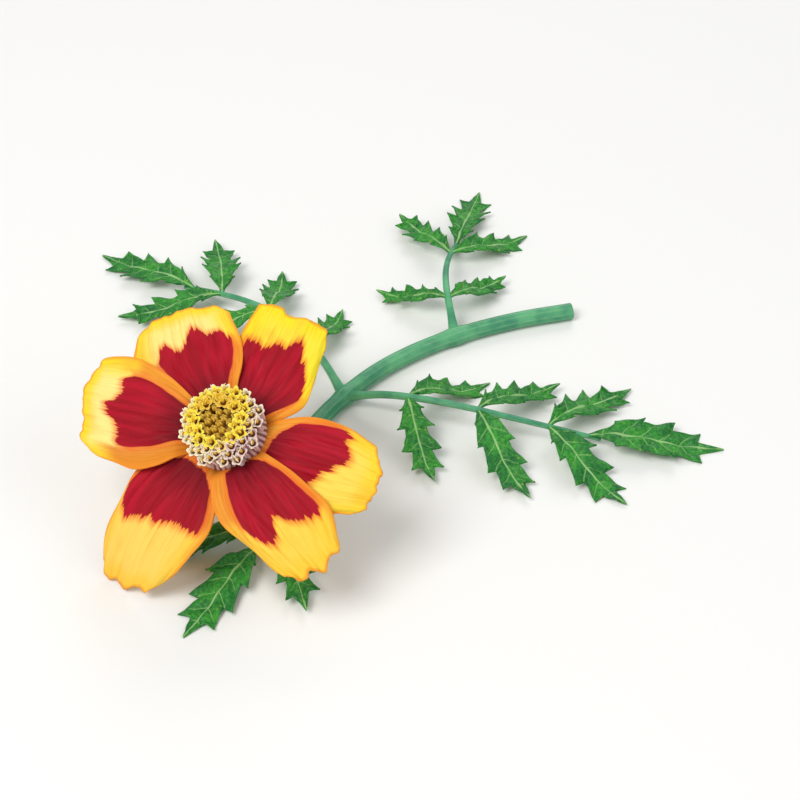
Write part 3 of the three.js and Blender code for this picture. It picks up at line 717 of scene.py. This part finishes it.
def stemPath():
    # up the bloom's axis into the cup, an arc down to the floor, then the route along it
    lean, turn = math.radians(bloom["lean"]), math.radians(bloom["turn"])
    axis = np.array([math.sin(turn) * math.sin(lean), -math.cos(turn) * math.sin(lean), math.cos(lean)])
    centre = np.array([0, 0, bloom["height"]])
    start = centre + stem["top"] * axis
    back = -axis * [1, 1, 0] / np.linalg.norm(axis[:2])
    bend = math.pi / 2 - lean
    bendRadius = (start[2] - stem["centreHeight"]) / (1 - math.cos(bend))
    points = [start + stem["sunkInCup"] * axis]
    for share in (0, 1 / 3, 2 / 3, 1):
        steep = bend * (1 - share)
        level = bendRadius * (math.sin(bend) - math.sin(steep))
        drop = bendRadius * (math.cos(steep) - math.cos(bend))
        points.append(start + back * level - [0, 0, drop])
    points += [[x, y, stem["centreHeight"]] for x, y in stem["route"]]
    return splinePoints(np.array(points)) + np.array([*bloom["foot"], 0])


stemLine = stemPath()


def stemPart():
    t = np.linspace(0, 1, stem["rows"])
    angle = turnedAngles(stem["columns"])
    nodes = [stem["node"] * bell((t - shape["along"]) / stem["nodeReach"]) for shape in leaves]
    radius = mix(stem["neckRadius"], stem["radius"], smooth(t / stem["thinBy"])) + np.max(nodes, 0)
    power = stem["ridgePower"]  # near the curve's mean too, so the ridges swing about zero
    ridges = stem["ridgeDepth"] * (np.abs(np.cos(stem["ridges"] * angle / 2)) ** power - power)
    points = tube(stemLine, t, stem["columns"], radius[:, None] + ridges)
    points[..., 2] = np.maximum(points[..., 2], 0)
    points = capped(points)
    cut = np.zeros((len(points), 1))
    cut[-1] = 1
    return gridPart(points, wrap=True, ridge=np.cos(stem["ridges"] * angle), cut=cut)


def stemMaterial():
    material, tree, shader = newMaterial("stem_skin")
    streak = noise(uvPlace(tree, (30, 24, 1)), 1.0, 3.0)
    body = mixColour(remap(bodyNoise(tree, 260), 0.3, 0.7), stem["green"], stem["light"])
    lit = times(remap(field(tree, "ridge"), 0.2, 1.0), remap(streak, 0.3, 0.7, 0.05, 0.5))
    body = mixColour(lit, body, stem["ridge"])
    body = layOver(body, (stem["streak"], remap(streak, 0.55, 0.75), 0.45))
    pith = mixColour(bodyNoise(tree, 3000, 2), *stem["pith"])
    body = mixColour(remap(field(tree, "cut"), 0.15, 0.3), body, pith)
    dress(shader, body, 0.45, calc("MULTIPLY_ADD", bodyNoise(tree, 4000, 2), 0.4, streak), 0.08, 0.6)
    return material


cup = {
    "profile": [[-16.2, 1.72], [-15.4, 1.92], [-14.4, 2.18], [-13.2, 2.68], [-11.4, 3.6], [-9.0, 4.6],
                [-6.0, 5.15], [-3.2, 5.3], [-1.2, 5.4]],
    "ribs": 8, "ribDepth": 0.16, "fineRibs": 24, "fineRibDepth": 0.05, "teeth": 6, "toothHeight": 1.3,
    "toothPower": 1.5, "toothFrom": 0.85, "lip": [5.2, 0.05], "mouthRadius": 5.0, "floor": -2.2,
    "floorRadii": [4.7, 2.0, 0.0], "rows": 60, "columns": 144, "evenedOver": 7,
    "foot": "2c7d5c", "green": "4c9a4a", "ridge": "86bf62", "gland": "7a6a1e",
}


def cupPart():
    # the profile turned about the bloom's axis, with shallow ribs, a toothed rim and a short inner wall
    heights, radii = np.array(cup["profile"]).T
    bottom, rim = heights[0], heights[-1]
    z = np.linspace(bottom, rim, cup["rows"])
    window = cup["evenedOver"]
    radii = np.pad(np.interp(z, heights, radii), window // 2, mode="edge")
    bowed = np.convolve(radii, np.ones(window) / window, mode="valid")[:, None]
    angle = turnedAngles(cup["columns"])[None, :]
    share = ((z - bottom) / (rim - bottom))[:, None]
    ridge = np.cos(cup["ribs"] * angle)
    ribs = cup["ribDepth"] * ridge + cup["fineRibDepth"] * np.cos(cup["fineRibs"] * angle)
    tooth = cup["toothHeight"] * np.maximum(0, np.cos(cup["teeth"] * angle)) ** cup["toothPower"]
    lift = tooth * smooth((share - cup["toothFrom"]) / (1 - cup["toothFrom"]))
    outer = around(bowed + share * ribs, z[:, None] + lift, angle)
    lipRadius, lipHeight = cup["lip"]
    inside = [(lipRadius, rim + tooth + lipHeight), (cup["mouthRadius"], rim + tooth)]
    inside += [(radius, cup["floor"]) for radius in cup["floorRadii"]]
    start = np.broadcast_to([0, 0, bottom], outer[:1].shape)
    points = np.concatenate([start, outer] + [around(radius, height, angle) for radius, height in inside])
    share = np.concatenate([[0], share.ravel(), np.ones(len(inside))])[:, None]
    return gridPart(placeBloom(points), wrap=True, along=share, ridge=ridge)


def cupMaterial():
    material, tree, shader = newMaterial("cup_skin")
    body = mixColour(remap(field(tree, "along"), 0.0, 0.55), cup["foot"], cup["green"])
    body = layOver(body, (cup["ridge"], remap(field(tree, "ridge"), 0.0, 1.0), 0.35))
    spot = remap(cells(uvPlace(tree, (9, 24, 1)), 1.0, 0.6), 0.24, 0.14)
    body = layOver(body, (cup["gland"], spot, 0.6))
    dress(shader, body, 0.42, calc("MULTIPLY_ADD", bodyNoise(tree, 3500, 2), 0.3, spot), 0.1, 0.6)
    return material


stemSkin = stemMaterial()
makePiece("stem", [stemPart()], [stemSkin], "leafy_stem")
makePiece("calyx_cup", [cupPart()], [cupMaterial()], "leafy_stem")
print("stem and cup made")

# leaves

leaf = {
    "ribRows": 60, "ribColumns": 20, "ribRadius": 0.72, "ribTaper": 0.4, "ribFlare": 0.5, "flareReach": 2.6,
    "ribGroove": 0.18, "ribGrooveReach": 0.5, "ribEndHeight": 1.3, "archSkew": 0.8,
    "firstPair": 0.27, "lastPair": 0.8, "ribEnd": 0.95, "firstSize": 0.82, "lastSize": 0.95, "endSize": 1.1,
    "spread": 60, "spreadLoss": 8, "forwardSweep": 0.1, "tipHeight": 0.24, "tipRise": 1.5, "riseStep": 2.4,
    "pairSeed": 0.29, "sideSeed": 0.13,
    "rows": 150, "columns": 27, "halfWidth": 0.165, "thickness": 0.3, "clearance": 0.03,
    # each tooth of the edge: where it starts and ends along the leaflet, and its half widths there
    "teeth": [[0.0, 0.175, 0.1, 0.74], [0.2, 0.375, 0.5, 1.14], [0.4, 0.595, 0.6, 1.18],
              [0.62, 0.785, 0.54, 0.96], [0.81, 1.0, 0.4, 0.02]],
    "toothCurve": 2.1, "tipCurve": 0.95, "toothLean": 0.05, "toothReach": 0.05,
    "softest": 0.5, "softStep": 40, "flatFrom": 0.8, "hump": 0.07, "fold": 0.3,
    "veinPairs": 7, "veinSlope": 0.8, "veinStart": 0.3, "quilt": 0.15, "quiltFrom": 1.2, "quiltEnd": 0.2,
    "groove": 0.12, "grooveReach": 0.35, "wave": 0.35, "waves": 9, "waveStep": 5, "waveEnds": 0.3,
    "crinkle": 0.16, "crinkleWaves": (5, 2), "crinkleStep": 90, "crinkleEnds": 0.2,
}


def ribPath(shape):
    t = np.linspace(0, 1, 7)
    height = mix(stem["centreHeight"], leaf["ribEndHeight"], t)
    height += shape["arch"] * np.sin(np.pi * t ** leaf["archSkew"])
    return splinePoints(np.stack([shape["rib"] * t, shape["bow"] * np.sin(np.pi * t), height], -1))


def toothedEdge(seed):  # places along a leaflet and the half widths there. the last tooth is the tip
    teeth = np.array(leaf["teeth"])
    s = np.unique(np.concatenate([np.linspace(0, 1, leaf["rows"]), teeth[:, 0], teeth[:, 1]]))
    which = np.clip(np.searchsorted(teeth[:, 0], s, side="right") - 1, 0, len(teeth) - 1)
    start, end, low, high = teeth[which].T
    tip = which == len(teeth) - 1
    soft = leaf["softest"] * (0.5 + 0.5 * math.sin(leaf["softStep"] * seed))
    curve = np.where(tip, leaf["tipCurve"], leaf["toothCurve"])
    low = mix(low, high, soft * ~tip * (which > 0))
    edge = mix(low, high, np.clip((s - start) / (end - start), 0, 1) ** curve)
    between = s > end
    edge[between] = np.interp(s[between], s[~between], edge[~between])
    return s, edge


def forwardLean(s):  # teeth reach forwards, most at their tips and not at all at the notches
    total = 0
    for tooth, following in zip(leaf["teeth"][:-1], leaf["teeth"][1:]):
        tip, notch = tooth[1], following[0]
        before = bell((s - tip) / leaf["toothReach"])
        total = total + np.where(s > tip, np.clip((notch - s) / (notch - tip), 0, 1), before)
    return leaf["toothLean"] * total


def calmEnds(s, reach):
    return smooth(s / reach) * smooth((1 - s) / reach)


def leafletPart(foot, heading, length, sweep, tipHeight, seed):
    # s runs along the midrib and w across. height falls from the rib to the floor, folded along the midrib
    # and quilted between the side veins.
    s, edge = toothedEdge(seed)
    s, w = np.meshgrid(s, np.linspace(-1, 1, leaf["columns"]), indexing="ij")
    halfWidth = edge[:, None] * leaf["halfWidth"] * length
    forward = s + forwardLean(s) * np.abs(w) ** 3
    across = w * halfWidth
    fromMidrib = np.abs(across)
    outward = np.minimum(1, s / leaf["flatFrom"])
    hump = leaf["hump"] * length * np.sin(np.pi * outward) * (1 - s)
    fold = leaf["fold"] * fromMidrib * (1 - outward)
    veinPhase = (forward - leaf["veinSlope"] * fromMidrib / length) * leaf["veinPairs"] + leaf["veinStart"]
    quilt = leaf["quilt"] * np.minimum(1, fromMidrib / leaf["quiltFrom"]) * smooth((1 - s) / leaf["quiltEnd"])
    quilt *= -np.cos(2 * np.pi * veinPhase)
    groove = -leaf["groove"] * bell(across / leaf["grooveReach"]) * (1 - s)
    wave = leaf["wave"] * w ** 2 * np.sin(leaf["waves"] * s + leaf["waveStep"] * seed)
    wave *= calmEnds(s, leaf["waveEnds"])
    alongWaves, acrossWaves = leaf["crinkleWaves"]
    crinkle = leaf["crinkle"] * uneven(s * alongWaves, w * acrossWaves, seed * leaf["crinkleStep"])
    crinkle *= calmEnds(s, leaf["crinkleEnds"])
    height = mix(foot[2], tipHeight, smooth(outward)) + hump + fold + quilt + groove + wave + crinkle
    height = np.maximum(height, leaf["clearance"] + leaf["thickness"] / 2)
    ahead = np.array([math.cos(heading), math.sin(heading)])
    side = np.array([-math.sin(heading), math.cos(heading)])
    flat = foot[:2] + (forward * length)[..., None] * ahead + (across + sweep * s ** 2)[..., None] * side
    fromEdge = (1 - np.abs(w)) * halfWidth
    points = np.concatenate([flat, height[..., None]], -1)
    return gridPart(points, along=s, across=across, fromEdge=fromEdge, veinPhase=veinPhase)


def leafParts(shape, number, path):
    def leafletAt(share, turn, size, sweep, tipHeight, seed):
        foot, slope = along(path, share)
        return leafletPart(foot, math.atan2(slope[1], slope[0]) + turn, size, sweep, tipHeight, seed)

    parts = []
    for k in range(shape["pairs"]):
        rank = 1 - k / max(1, shape["pairs"] - 1)
        size = shape["leaflet"] * mix(leaf["firstSize"], leaf["lastSize"], rank)
        opening = math.radians(leaf["spread"] - leaf["spreadLoss"] * rank)
        for side in (-1, 1):
            rise = 0.5 + 0.5 * math.sin(shape["heading"] + leaf["riseStep"] * k + side)
            parts.append(leafletAt(
                mix(leaf["firstPair"], leaf["lastPair"], rank), side * opening, size,
                -side * leaf["forwardSweep"] * size, leaf["tipHeight"] + leaf["tipRise"] * rise,
                (number + k * leaf["pairSeed"] + side * leaf["sideSeed"]) % 1))
    end = shape["leaflet"] * leaf["endSize"]
    return parts + [leafletAt(leaf["ribEnd"], 0, end, 0, leaf["tipHeight"], number / 4)]


def ribPart(shape, path):
    t = np.linspace(0, 1, leaf["ribRows"])
    angle = turnedAngles(leaf["ribColumns"])
    flare = 1 + leaf["ribFlare"] * bell(t * shape["rib"] / leaf["flareReach"])
    groove = 1 - leaf["ribGroove"] * bell((angle - np.pi / 2) / leaf["ribGrooveReach"])
    radius = (leaf["ribRadius"] * (1 - leaf["ribTaper"] * t) * flare)[:, None] * groove
    points = capped(tube(path, t, leaf["ribColumns"], radius))
    points[..., 2] = np.maximum(points[..., 2], 0)
    return gridPart(points, wrap=True, ridge=np.cos(2 * angle), cut=0)


def placeLeaf(part, shape):  # to its node on the stem
    root, _ = along(stemLine, shape["along"])
    return part | {"points": turnAboutZ(part["points"], shape["heading"]) + [root[0], root[1], 0]}


leafPaint = {
    "deep": "12702c", "green": "369a2e", "shade": "0a4a2c", "lit": "62a53a", "net": "5fa04c",
    "vein": "8ec672", "midrib": "a4cf88", "gland": "a9b83c", "back": "86ad7c", "backShare": 0.45,
    "roughness": (0.4, 0.56), "netScale": 1100.0, "glandScale": 620.0,
}


def leafMaterial(name, back):
    material, tree, shader = newMaterial(name)
    paint = leafPaint
    across = calc("ABSOLUTE", field(tree, "across"))
    midrib = remap(calc("MULTIPLY_ADD", field(tree, "along"), 0.18, across), 0.34, 0.16)
    phase = calc("ADD", field(tree, "veinPhase"), swing(bodyNoise(tree, 300, 1), 0.3))
    fromVein = calc("ABSOLUTE", calc("SUBTRACT", calc("FRACT", phase), 0.5))
    fromEdge = field(tree, "fromEdge")
    vein = times(remap(fromVein, 0.44, 0.485), remap(fromEdge, 0.1, 0.9))
    where = bodyPlace(tree)
    net = remap(cells(where, paint["netScale"], feature="DISTANCE_TO_EDGE"), 0.09, 0.02)
    gland = times(remap(cells(where, paint["glandScale"]), 0.17, 0.1), remap(fromEdge, 1.5, 0.5))
    grain = bodyNoise(tree, 1900, 3, 0.65)
    body = mixColour(remap(bodyNoise(tree, 260), 0.3, 0.7), paint["deep"], paint["green"])
    body = layOver(body, (paint["shade"], remap(grain, 0.42, 0.66), 0.6),
                   (paint["lit"], remap(grain, 0.46, 0.3), 0.45), (paint["net"], net, 0.22),
                   (paint["vein"], vein, 0.6), (paint["midrib"], midrib, 0.75), (paint["gland"], gland, 0.5))
    if back:
        body = mixColour(paint["backShare"], body, paint["back"])
    relief = calc("MULTIPLY_ADD", net, -0.35, times(vein, -0.8))
    relief = calc("MULTIPLY_ADD", grain, 0.5, relief)
    dress(shader, body, remap(grain, 0.3, 0.7, *paint["roughness"]), relief, 0.11, 0.7)
    feed(shader, {"Specular IOR Level": 0.3})
    return material


leafFace = leafMaterial("leaf_face", False)
leafBack = leafMaterial("leaf_back", True)
for number, shape in enumerate(leaves):
    path = ribPath(shape)
    leaflets = [placeLeaf(part, shape) for part in leafParts(shape, number, path)]
    blades = makePiece(f"leaf_{shape['name']}", leaflets, [leafFace, leafBack], "leafy_stem",
                       closed=False)
    thicken(blades, leaf["thickness"], 1)
    rib = placeLeaf(ribPart(shape, path), shape)
    makePiece(f"rib_{shape['name']}", [rib], [stemSkin], "leafy_stem")
print("leaves made")

# floor, lights and camera

studio = {
    "light": {"Color": "ffffff", "Strength": 0.43},
    "floor": {"Base Color": (0.86, 0.86, 0.85, 1.0), "Roughness": 0.75},
    "corners": [(-3, -3, 0), (3, -3, 0), (3, 3, 0), (-3, 3, 0)],
}
world = bpy.data.worlds.new("studio")
bpy.context.scene.world = world
world.use_nodes = True
feed(world.node_tree.nodes["Background"], studio["light"])

floorMesh = bpy.data.meshes.new("floor")
floorMesh.from_pydata(studio["corners"], [], [(0, 1, 2, 3)])
floorMaterial, _, floorShader = newMaterial("floor_white")
feed(floorShader, studio["floor"])
floorMesh.materials.append(floorMaterial)
floor = addObject("floor", floorMesh)


def aim(item, place, target):
    item.location = place
    item.rotation_euler = (target - place).to_track_quat("-Z", "Y").to_euler()


lights = [
    {"name": "key", "at": (-0.35, -0.35, 0.7), "size": 0.45, "power": 4.9, "tint": (1.0, 0.98, 0.95)},
    {"name": "fill", "at": (0.6, -0.35, 0.45), "size": 0.6, "power": 1.35, "tint": (0.95, 0.98, 1.0)},
    {"name": "rim", "at": (0.15, 0.65, 0.5), "size": 0.4, "power": 1.6, "tint": (1.0, 1.0, 1.0)},
]
for item in lights:
    data = bpy.data.lights.new(item["name"], "AREA")
    data.size = item["size"]
    data.energy = item["power"]
    data.color = item["tint"]
    aim(addObject(item["name"], data), Vector(item["at"]), Vector())

view = {"elevation": 41.0, "distance": 0.37, "lens": 98.0, "target": Vector((0.0005, -0.0095, 0.006))}
cameraData = bpy.data.cameras.new("camera")
cameraData.lens = view["lens"]
camera = addObject("camera", cameraData)
tilt = math.radians(view["elevation"])
offset = Vector((0, -math.cos(tilt), math.sin(tilt))) * view["distance"]
aim(camera, view["target"] + offset, view["target"])
bpy.context.scene.camera = camera
bpy.context.scene.view_settings.view_transform = "Standard"
